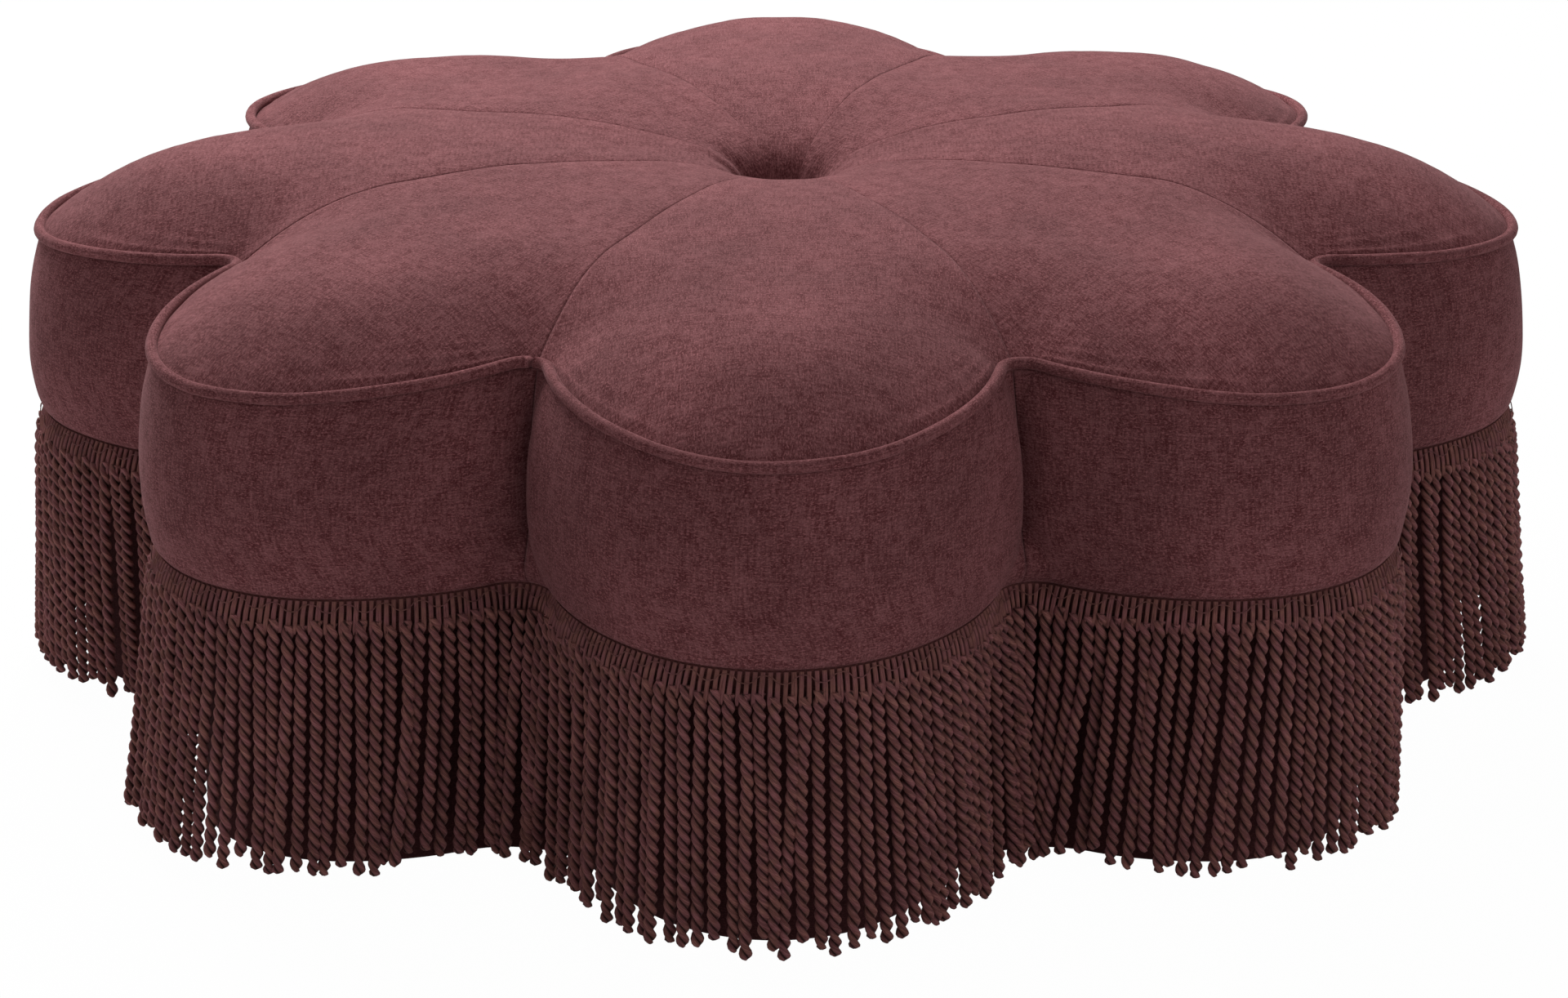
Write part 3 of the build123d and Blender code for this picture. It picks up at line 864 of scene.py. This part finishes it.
class OTTOMAN_OT_top_panels(bpy.types.Operator):
    """Make the crowned top: one panel a petal, drawn down at the tuft"""

    bl_idname = "ottoman.top_panels"
    bl_label = "Top Panels"

    def execute(self, context):
        flower = context.scene.ottoman_flower
        crown = context.scene.ottoman_crown
        edge = petal_outline(flower, -TOP_INSET, flower.welt_notch + TOP_INSET)
        edge_radius = np.hypot(edge[:, 0], edge[:, 1])
        bearing = np.arctan2(edge[:, 1], edge[:, 0])
        inner = crown.throat * THROAT_SPREAD ** np.linspace(0.0, 1.0, THROAT_RINGS)
        outer = np.sin(np.linspace(0.0, math.pi / 2, CROWN_RINGS))
        rings = [np.full(len(edge), radius) for radius in inner]
        rings += [inner[-1] + (edge_radius - inner[-1]) * share for share in outer[1:]]
        radius = np.array(rings)
        plan = np.stack([radius * np.cos(bearing), radius * np.sin(bearing)], axis=-1)
        share = radius / edge_radius
        drawn = bell(radius, 0.0, LIP_RADIUS) * (1.0 - np.exp(-(radius - crown.throat) / LIP_EASE))
        for k, angle in enumerate(PETAL_ANGLES):
            height = self.height(flower, crown, plan, radius, share, edge, bearing, angle)
            height[-1] -= TOP_TUCK
            points = turned(np.dstack([plan, height]), angle)
            points[..., 0] += crown.drawn_x * drawn
            points[..., 1] -= crown.drawn_y * drawn
            points[..., 2] += wander(points, TOP_WANDER) * limited((1.0 - share) * WANDER_FADE)
            points = self.filled(points, radius, crown)
            under = points.copy()
            under[..., 2] = np.minimum(PAD_FLOOR, points[..., 2] - TOP_THICKNESS)
            name = f"top_panel_{k + 1}"
            piece = grid_piece(name, points[::-1], plan[::-1], cover_cloth(), back=under[::-1])
            settle(piece, [f"crown_panel_{k + 1}"])
        return {"FINISHED"}

    def filled(self, points, radius, crown):
        """Swells the panel between its seams, the piping and the tuft."""
        first = int(np.argmax(radius.min(axis=1) > FILL_START))
        panel = points[first:][::-1]
        held = held_edges(panel.shape[:2], 2, 2, 1)
        out = points.copy()
        out[first:] = swelled(panel, held, crown.swell_force, crown.swell_cap)[::-1]
        return out

    def height(self, flower, crown, plan, radius, share, edge, bearing, angle):
        """Height of the top: crown, dish, throat, seam creases and puckers."""
        around = bearing + angle
        spread = limited((radius - FILL_START) / FILL_EASE)
        spread = spread * spread * (3.0 - 2.0 * spread)
        top = WELT_LEVEL + crown.rise * (1.0 + (fullness(around) - 1.0) * spread)
        past = limited((radius - crown.crest) / (flower.tip_radius - crown.crest))
        top = top - crown.cone * past**1.3
        dish = crown.dish * limited(1.0 - radius / crown.crest) ** 2
        past = radius - crown.throat
        drop = crown.throat_depth * np.exp(-past / crown.throat_ease)
        drop += crown.funnel_depth * np.exp(-((past / crown.funnel_ease) ** 1.4))
        height = self.eased(top, plan, edge, welt_height(flower, edge), crown) - dish - drop
        across = np.sin(math.pi / 2 * np.abs(bearing) / SECTOR_HALF) ** 2
        hollow = crown.valley * across * bell(share, VALLEY_MIDDLE, VALLEY_WIDTH)
        height -= hollow * (1.0 - np.minimum(share, 1.0) ** 8)
        crease = np.exp(-(radius * np.sin(SECTOR_HALF - np.abs(bearing))) / CREASE_WIDTH)
        height -= crown.seam_pinch * crease * np.clip(radius / FILL_START, 0.25, 1.0)
        folds = 0.25 * np.cos(13 * around + 0.6)
        for place, depth in FOLDS:
            folds -= depth * np.exp((np.cos(around - place) - 1.0) / FOLD_SPREAD)
        height += crown.fold * folds * bell(radius, FOLD_RADIUS, FOLD_WIDTH)
        return height

    def eased(self, height, plan, edge, rim, crown):
        """Rolls the top over to the piping, no steeper than a slope."""
        away = np.full(height.shape, 1.0)
        level = np.zeros(height.shape)
        for spot, low in zip(edge, rim):
            reach = np.hypot(plan[..., 0] - spot[0], plan[..., 1] - spot[1])
            level = np.where(reach < away, low, level)
            away = np.minimum(away, reach)
        limit = level + crown.edge_slope * away
        blend = limited(0.5 + 0.5 * (limit - height) / crown.shoulder)
        return limit + (height - limit) * blend - crown.shoulder * blend * (1.0 - blend)


class OTTOMAN_OT_side_panels(bpy.types.Operator):
    """Make the bulging side panels, one a petal, with a seam in each notch"""

    bl_idname = "ottoman.side_panels"
    bl_label = "Side Panels"

    def execute(self, context):
        flower = context.scene.ottoman_flower
        side = context.scene.ottoman_side
        shares = np.linspace(0.0, 1.0, SIDE_ROWS)
        rows = []
        places = []
        for share in shares:
            swell = 1.0 - abs(2.0 * share - 1.0) ** SIDE_ROUNDNESS
            offset = -SIDE_INSET + side.bulge * swell + side.foot * share
            fillet = side.notch + (flower.welt_notch - side.notch) * (1.0 - share) ** 6
            fillet += FOOT_FILLET * limited((share - FOOT_START) / FOOT_EASE) ** 2
            line = self.crowded(petal_outline(flower, offset, fillet), side.crowd * swell)
            top = welt_height(flower, line) - 0.6 * flower.welt_radius
            level = top + (side.bottom - top) * share
            rows.append(raised(line, level))
            places.append(raised(run_lengths(line), level))
        for inset, drop in ROLL:
            rows.append(raised(petal_outline(flower, offset - inset, fillet), side.bottom - drop))
            places.append(places[-1] - (0.0, ROLL_STEP))
        uv = np.array(places)[::-1]
        middle = np.concatenate([np.sin(math.pi * shares) ** 0.5, np.zeros(len(ROLL))])[:, None]
        held = held_edges(uv.shape[:2], 2, len(ROLL) + 2, 2)
        for k, angle in enumerate(PETAL_ANGLES):
            points = turned(np.array(rows), angle)
            shift = wander(points, SIDE_WANDER) * middle
            points[..., :2] += unit(points[..., :2]) * shift[..., None]
            points = swelled(points[::-1], held[::-1], side.swell_force, side.swell_cap)
            back = points - surface_normals(points) * side.thickness
            piece = grid_piece(f"side_panel_{k + 1}", points, uv, cover_cloth(), back=back)
            settle(piece, [f"boxing_panel_{k + 1}"])
        return {"FINISHED"}

    def crowded(self, line, crowd):
        """Presses the two sides of a notch together, short of the seam itself."""
        normal, _ = outward(line)
        bearing = np.abs(np.arctan2(line[:, 1], line[:, 0]))
        gap = np.hypot(line[:, 0], line[:, 1]) * np.sin(SECTOR_HALF - bearing)
        near = bell(gap, CROWD_GAP, CROWD_WIDTH)
        return line + normal * (np.minimum(crowd * near, 0.7 * gap))[:, None]


class OTTOMAN_OT_welt(bpy.types.Operator):
    """Make the piping round the top edge"""

    bl_idname = "ottoman.welt"
    bl_label = "Piping"

    def execute(self, context):
        flower = context.scene.ottoman_flower
        line = petal_outline(flower, 0.0, flower.welt_notch, dense=2)[:-1]
        plan = np.vstack([turned(line, angle) for angle in PETAL_ANGLES])
        route = raised(plan, welt_height(flower, plan))
        route[:, 2] += wander(route, WELT_WANDER)
        ply = flower.welt_radius
        piece = trim_piece("welt", [route], cover_cloth(), ply, step=0.004, sides=14, closed=True)
        cord_uv(piece, 2 * math.pi * ply)
        settle(piece, ["welt_cord"])
        return {"FINISHED"}


class OTTOMAN_OT_tuft_button(bpy.types.Operator):
    """Make the covered button at the bottom of the tuft"""

    bl_idname = "ottoman.tuft_button"
    bl_label = "Tuft Button"

    def execute(self, context):
        low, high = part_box("tuft_button")
        turns = np.linspace(0.0, 2 * math.pi, 48, endpoint=False)
        dome = np.linspace(math.pi / 2, 0.06, 14)
        shares = np.concatenate([[0.02, 0.55, 0.85], np.sin(dome)])[:, None]
        levels = np.concatenate([[0.0, 0.0, 0.05], 0.30 + 0.70 * np.cos(dome)])[:, None]
        gather = 1.0 + 0.012 * np.cos(16 * turns) * (levels < 0.5)
        reach = (high[0] - low[0]) / 2 * shares * gather
        height = low[2] + (high[2] - low[2]) * levels * np.ones(len(turns))
        points = np.dstack([reach * np.cos(turns), reach * np.sin(turns), height])
        piece = grid_piece("tuft_button_cover", points, points[..., :2], cover_cloth(), wrap=True)
        settle(piece, ["tuft_button"])
        return {"FINISHED"}


class OTTOMAN_OT_fringe_header(bpy.types.Operator):
    """Make the ribbed header of the fringe with its stitched line"""

    bl_idname = "ottoman.fringe_header"
    bl_label = "Fringe Header"

    def execute(self, context):
        top = HEADER_TOP
        foot = top - context.scene.ottoman_fringe.header
        line = petal_outline(context.scene.ottoman_flower, TAPE_OFFSET, TAPE_FILLET)
        levels = np.linspace(foot - TAPE_LAP, top, 6)
        rows = np.array([raised(line, level) for level in levels])
        uv = np.array([raised(run_lengths(line), level) for level in levels])
        for k, angle in enumerate(PETAL_ANGLES):
            ribs = self.ribs(context, np.random.default_rng(RIB_SEED + k), foot, top, angle)
            piece = trim_piece(f"header_ribs_{k + 1}", ribs, header_yarn(), RIB_RADIUS, step=0.003, sides=7)
            settle(piece, [])
            band = turned(rows, angle)
            back = band - surface_normals(band) * TAPE_THICKNESS
            tape = grid_piece(f"header_tape_{k + 1}", band, uv, tape_cloth(), back=back)
            settle(tape, [])
            route = [self.stitch(context, foot, top, angle)]
            name = f"header_stitch_{k + 1}"
            thread = trim_piece(name, route, stitch_thread(), STITCH_RADIUS, step=0.0015, sides=6)
            settle(thread, [])
        return {"FINISHED"}

    def ribs(self, context, rng, foot, top, angle):
        """Upright ribs in pairs, that lean out over the cords' heads."""
        count = RIBS_A_CORD * context.scene.ottoman_fringe.cords
        share = np.linspace(0.0, 1.0, 6)
        bow = np.sin(math.pi * share)
        start = top - RIBS_DROP
        level = start + (foot - HEADER_LAP - start) * share
        ribs = []
        for i, (place, normal, tangent) in enumerate(zip(*fringe_line(context, HEADER_OFFSET, count))):
            sway = rng.normal(0.0, RIB_SWAY, 3)
            out = RIB_LEAN * share + RIB_BOW * bow + sway[0] * share
            aside = RIB_PAIR * (-1.0) ** i + sway[1] * bow + (sway[2] - RIB_SLANT) * share
            plan = place + normal * out[:, None] + tangent * aside[:, None]
            ribs.append(turned(raised(plan, level), angle))
        return ribs

    def stitch(self, context, foot, top, angle):
        """One wavy line of thread laid over the ribs."""
        place, normal, _ = fringe_line(context, HEADER_OFFSET, STITCH_LOOPS * 12)
        wave = np.sin(np.linspace(0.0, 2 * math.pi * STITCH_LOOPS, len(place)))
        share = STITCH_MIDDLE + STITCH_SWING * np.sign(wave) * np.abs(wave) ** 0.6
        out = STITCH_PROUD + RIB_LEAN * share + RIB_BOW * np.sin(math.pi * share)
        level = top - (top - foot + HEADER_LAP) * share
        return turned(raised(place + normal * out[:, None], level), angle)


class OTTOMAN_OT_fringe_cords(bpy.types.Operator):
    """Make the twisted cords of the fringe, one length a petal"""

    bl_idname = "ottoman.fringe_cords"
    bl_label = "Fringe Cords"

    def execute(self, context):
        fringe = context.scene.ottoman_fringe
        for k, angle in enumerate(PETAL_ANGLES):
            rng = np.random.default_rng(FRINGE_SEEDS[k])
            piece = trim_piece(
                f"fringe_cords_{k + 1}", self.routes(context, rng, angle, FRINGE_DRIFT[k]), fringe_yarn(),
                fringe.ply, step=0.0014, sides=12, offset=fringe.ply_offset, lay=fringe.lay, tip=CORD_TIP,
                seed=np.random.default_rng(TWIST_SEED + k),
            )
            settle(piece, [f"fringe_{k + 1}"])
        return {"FINISHED"}

    def closed_up(self, at, widest):
        """Places of the cords, drawn together where a gap would be too wide."""
        for _ in range(CLOSING_PASSES):
            wide = np.clip(np.diff(at) - widest, 0.0, None) / 2
            at[:-1] += wide
            at[1:] -= wide
        return at

    def routes(self, context, rng, angle, drift):
        """Hanging lines that lean together in bunches and end unevenly."""
        fringe = context.scene.ottoman_fringe
        count = fringe.cords
        number = np.arange(count)
        place, normal, tangent = fringe_line(context, CORD_OFFSET, count)
        even = number * np.linalg.norm(place[1] - place[0])
        drawn = np.convolve(rng.normal(size=count + 6), np.ones(4) / 2.0, mode="same")[3:-3]
        lean = fringe.stray * drawn + rng.normal(0.0, LEAN_JITTER, count)
        from_end = np.minimum(number, number[::-1]) / END_CORDS
        lean *= np.clip(from_end, CALM_LEAN, 1.0)
        notch = limited(1.0 - from_end / NOTCH_REACH)
        flank = limited(1.0 - from_end / FLANK_REACH) * (1.0 - notch)
        behind = np.where(rng.random(count) < FRONT_SHARE, 0, number % 2)
        proud = ROW_PROUD - behind * (ROW_DEPTH + FLANK_DEPTH * flank)
        swing = (fringe.flare + EVEN_FLARE) * (1.0 - FLANK_CALM * flank)
        swing = swing + rng.normal(0.0, SWING_JITTER, count) + fringe.notch_flare * notch
        bend = rng.normal(0.0, BEND_JITTER, count)
        phase = rng.uniform(0.0, 2 * math.pi, count)
        ends = FRINGE_END - 0.001 + np.abs(rng.normal(0.0, fringe.uneven, count))
        start = HEADER_TOP - fringe.header + CORD_START + rng.uniform(-START_JITTER, START_JITTER, count)
        levels = np.linspace(0.0, 1.0, 16)
        side = np.zeros((count, len(levels)))
        out = np.zeros((count, len(levels)))
        for j, share in enumerate(levels):
            sway = bend * np.sin(math.pi * share + phase) * min(1.0, 4 * share)
            at = self.closed_up(even + (lean * share**1.3 + sway), fringe.widest)
            side[:, j] = at - even
            tight = np.clip(CORD_ROOM - np.diff(at), 0.0, MOST_PROUD)
            front = np.zeros(count)
            front[1::2] += np.maximum(np.append(tight, 0.0), np.append(0.0, tight))[1::2]
            sewn = SEWN_DEPTH * max(0.0, 1.0 - 12.0 * share)
            out[:, j] = swing * share**1.1 + proud * min(1.0, 3.5 * share) - sewn
            out[:, j] += front * 0.95 * min(1.0, 3 * share)
        routes = []
        for i in range(count):
            plan = place[i] + tangent[i] * side[i][:, None] + normal[i] * out[i][:, None]
            route = turned(raised(plan, start[i] + (ends[i] - start[i]) * levels), angle)
            route[:, 0] += drift * levels**1.4
            routes.append(route)
        return routes


class OTTOMAN_OT_plinth(bpy.types.Operator):
    """Make the cloth-wrapped plinth behind the fringe"""

    bl_idname = "ottoman.plinth"
    bl_label = "Plinth"

    def execute(self, context):
        line = petal_outline(context.scene.ottoman_flower, PLINTH_OFFSET, PLINTH_FILLET)[:-1]
        plan = np.vstack([turned(line, angle) for angle in PETAL_ANGLES])
        rising = np.linspace(PLINTH_FOOT + HEM_RISE, PLINTH_TOP, PLINTH_ROWS)
        rows = [raised(plan * inset, PLINTH_FOOT) for inset in HEM_INSETS]
        rows += [raised(plan, level) for level in rising]
        points = np.array(rows)
        away = unit(points[..., :2])
        points[..., :2] += away * (wander(points, PLINTH_WANDER) - PLINTH_PLAY)[..., None]
        uv = np.dstack([np.tile(run_lengths(plan), (len(points), 1)), points[..., 2]])
        back = points.copy()
        back[..., :2] -= away * PLINTH_THICKNESS
        piece = grid_piece("plinth_wrap", points, uv, plinth_cloth(), back=back, wrap=True)
        settle(piece, ["plinth_cover"])
        return {"FINISHED"}


class OTTOMAN_OT_frame_finishes(bpy.types.Operator):
    """Give the frame, the foam and the hardware their materials"""

    bl_idname = "ottoman.frame_finishes"
    bl_label = "Frame Finishes"

    def execute(self, context):
        finishes = {slot: plain_material(*row) for slot, row in FINISHES.items()}
        for entry in frame["record"]["subparts"]:
            finish = finishes.get(entry["material_slot"])
            if finish is not None:
                for slot in frame["nodes"][entry["node"]].material_slots:
                    slot.material = finish
        return {"FINISHED"}


# Stage


class OTTOMAN_OT_stage(bpy.types.Operator):
    """Set the pale floor, the soft lights and the camera"""

    bl_idname = "ottoman.stage"
    bl_label = "Stage"

    def execute(self, context):
        scene = context.scene
        scene.view_settings.view_transform = "Standard"
        self.floor()
        self.world(scene)
        for name, settings in LAMPS.items():
            self.lamp(name, *settings)
        lens = bpy.data.cameras.new("photo_camera")
        lens.sensor_width = 36.0
        lens.lens = 100.2
        lens.clip_end = 30.0
        camera = new_object("photo_camera", lens)
        camera.location = CAMERA_PLACE
        camera.rotation_euler = (math.radians(90.0 - CAMERA_TILT), 0.0, 0.0)
        scene.camera = camera
        return {"FINISHED"}

    def floor(self):
        """A white floor that takes soft shade, clear from below."""
        corners = [(x * FLOOR_HALF, y * FLOOR_HALF, 0) for x, y in ((-1, -1), (1, -1), (1, 1), (-1, 1))]
        mesh = bpy.data.meshes.new("floor")
        mesh.from_pydata(corners, [], [(0, 1, 2, 3)])
        material = bpy.data.materials.new("pale_floor")
        tree = cleared(material)
        diffuse = fed(tree, "ShaderNodeBsdfDiffuse", {"Color": (0.85, 0.85, 0.85, 1.0)}).outputs[0]
        white = fed(tree, "ShaderNodeEmission", {"Color": WHITE, "Strength": 1.0}).outputs[0]
        seen = sums(tree, "MULTIPLY", seen_rays(tree), FLOOR_WHITE)
        both = fed(tree, "ShaderNodeMixShader", {0: seen, 1: diffuse, 2: white}).outputs[0]
        clear = fed(tree, "ShaderNodeBsdfTransparent").outputs[0]
        below = fed(tree, "ShaderNodeNewGeometry").outputs["Backfacing"]
        sided = fed(tree, "ShaderNodeMixShader", {0: below, 1: both, 2: clear}).outputs[0]
        fed(tree, "ShaderNodeOutputMaterial", {0: sided})
        mesh.materials.append(material)
        floor = new_object("floor", mesh)

    def world(self, scene):
        """Soft light from all round, and white where it is seen."""
        world = bpy.data.worlds.new("studio")
        scene.world = world
        tree = cleared(world)
        soft = fed(tree, "ShaderNodeBackground", {"Color": WHITE, "Strength": ROOM_LIGHT}).outputs[0]
        white = fed(tree, "ShaderNodeBackground", {"Color": WHITE, "Strength": 1.0}).outputs[0]
        both = fed(tree, "ShaderNodeMixShader", {0: seen_rays(tree), 1: soft, 2: white}).outputs[0]
        fed(tree, "ShaderNodeOutputWorld", {0: both})

    def lamp(self, name, place, target, size, power):
        """A square lamp aimed at a target."""
        light = bpy.data.lights.new(name, "AREA")
        light.size = size
        light.energy = power
        lamp = new_object(name, light)
        lamp.location = place
        aim = Vector(target) - Vector(place)
        lamp.rotation_euler = aim.to_track_quat("-Z", "Y").to_euler()


class OTTOMAN_PT_panel(bpy.types.Panel):
    """Steps that dress the ottoman"""

    bl_idname = "OTTOMAN_PT_panel"
    bl_label = "Flower Ottoman"
    bl_space_type = "VIEW_3D"
    bl_region_type = "UI"
    bl_category = "Ottoman"

    def draw(self, context):
        for group in GROUPS:
            sizes = getattr(context.scene, group)
            box = self.layout.box()
            for key in sizes.__annotations__:
                box.prop(sizes, key)
        for step in STEPS:
            self.layout.operator(step.bl_idname)


GROUPS = {
    "ottoman_flower": FlowerSizes,
    "ottoman_crown": CrownSizes,
    "ottoman_side": SideSizes,
    "ottoman_fringe": FringeSizes,
    "ottoman_cloth": ClothColours,
}
STEPS = (
    OTTOMAN_OT_frame_finishes,
    OTTOMAN_OT_plinth,
    OTTOMAN_OT_top_panels,
    OTTOMAN_OT_side_panels,
    OTTOMAN_OT_welt,
    OTTOMAN_OT_tuft_button,
    OTTOMAN_OT_fringe_header,
    OTTOMAN_OT_fringe_cords,
    OTTOMAN_OT_stage,
)


def register():
    for name, group in GROUPS.items():
        bpy.utils.register_class(group)
        setattr(bpy.types.Scene, name, PointerProperty(type=group))
    for step in STEPS:
        bpy.utils.register_class(step)
    bpy.utils.register_class(OTTOMAN_PT_panel)


def unregister():
    bpy.utils.unregister_class(OTTOMAN_PT_panel)
    for step in reversed(STEPS):
        bpy.utils.unregister_class(step)
    for name, group in GROUPS.items():
        delattr(bpy.types.Scene, name)
        bpy.utils.unregister_class(group)


def main():
    register()
    bpy.ops.ottoman.frame_finishes()
    bpy.ops.ottoman.plinth()
    bpy.ops.ottoman.top_panels()
    bpy.ops.ottoman.side_panels()
    bpy.ops.ottoman.welt()
    bpy.ops.ottoman.tuft_button()
    bpy.ops.ottoman.fringe_header()
    bpy.ops.ottoman.fringe_cords()
    bpy.ops.ottoman.stage()


if __name__ == "__main__":
    main()
